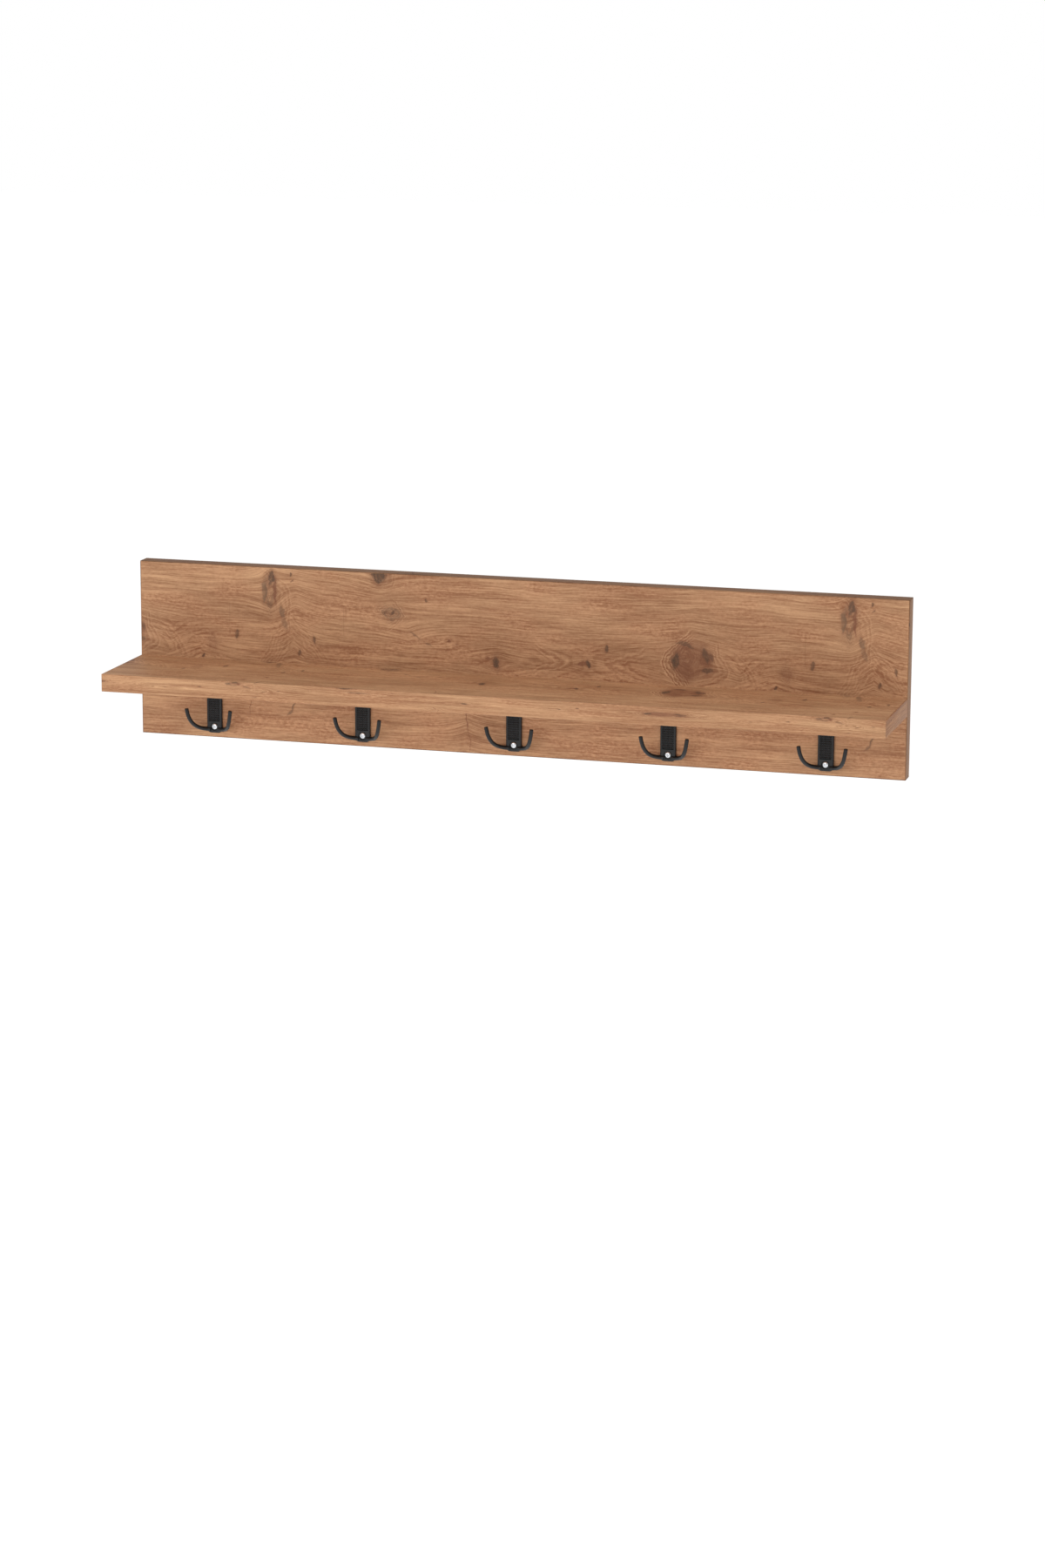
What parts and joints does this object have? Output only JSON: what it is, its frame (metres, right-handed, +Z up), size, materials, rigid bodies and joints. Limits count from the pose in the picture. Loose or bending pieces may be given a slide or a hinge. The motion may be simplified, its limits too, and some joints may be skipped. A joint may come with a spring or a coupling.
{
  "type": "wall hook rack",
  "caption": "Wall-mounted wood-decor rack: an upright back board with a narrow shelf across its face and a row of black double coat hooks under the shelf.",
  "frame": {"origin": "centre of the back board's wall face", "axes": "+X along the rack to the right as seen from the room, +Y into the wall (the front looks along -Y), +Z up"},
  "size_m": [0.8, 0.13, 0.18],
  "materials": {
    "board_decor": "rustic pine decor, matt melamine face with a fine horizontal grain",
    "edge_band": "matching pine decor edge band, matt",
    "hook_casting": "black satin powder coat on a zinc casting",
    "zinc_screw": "bright zinc plate",
    "hanger_plate": "plain zinc-plated sheet",
    "beech_dowel": "raw fluted beech"
  },
  "bodies": {
    "root": {"back_board": "board_decor", "back_band_top": "edge_band", "back_band_bottom": "edge_band", "back_band_left": "edge_band", "back_band_right": "edge_band", "shelf_board": "board_decor", "shelf_band_front": "edge_band", "shelf_band_left": "edge_band", "shelf_band_right": "edge_band", "hook_1": "hook_casting", "hook_2": "hook_casting", "hook_3": "hook_casting", "hook_4": "hook_casting", "hook_5": "hook_casting", "hook_screw_lower_1": "zinc_screw", "hook_screw_upper_1": "zinc_screw", "hook_screw_lower_2": "zinc_screw", "hook_screw_upper_2": "zinc_screw", "hook_screw_lower_3": "zinc_screw", "hook_screw_upper_3": "zinc_screw", "hook_screw_lower_4": "zinc_screw", "hook_screw_upper_4": "zinc_screw", "hook_screw_lower_5": "zinc_screw", "hook_screw_upper_5": "zinc_screw", "shelf_screw_1": "zinc_screw", "shelf_screw_2": "zinc_screw", "shelf_screw_3": "zinc_screw", "shelf_screw_4": "zinc_screw", "shelf_dowel_1": "beech_dowel", "shelf_dowel_2": "beech_dowel", "shelf_dowel_3": "beech_dowel", "hanger_plate_left": "hanger_plate", "hanger_plate_right": "hanger_plate", "hanger_screw_left_top": "zinc_screw", "hanger_screw_left_bottom": "zinc_screw", "hanger_screw_right_top": "zinc_screw", "hanger_screw_right_bottom": "zinc_screw"}
  },
  "joints": []
}
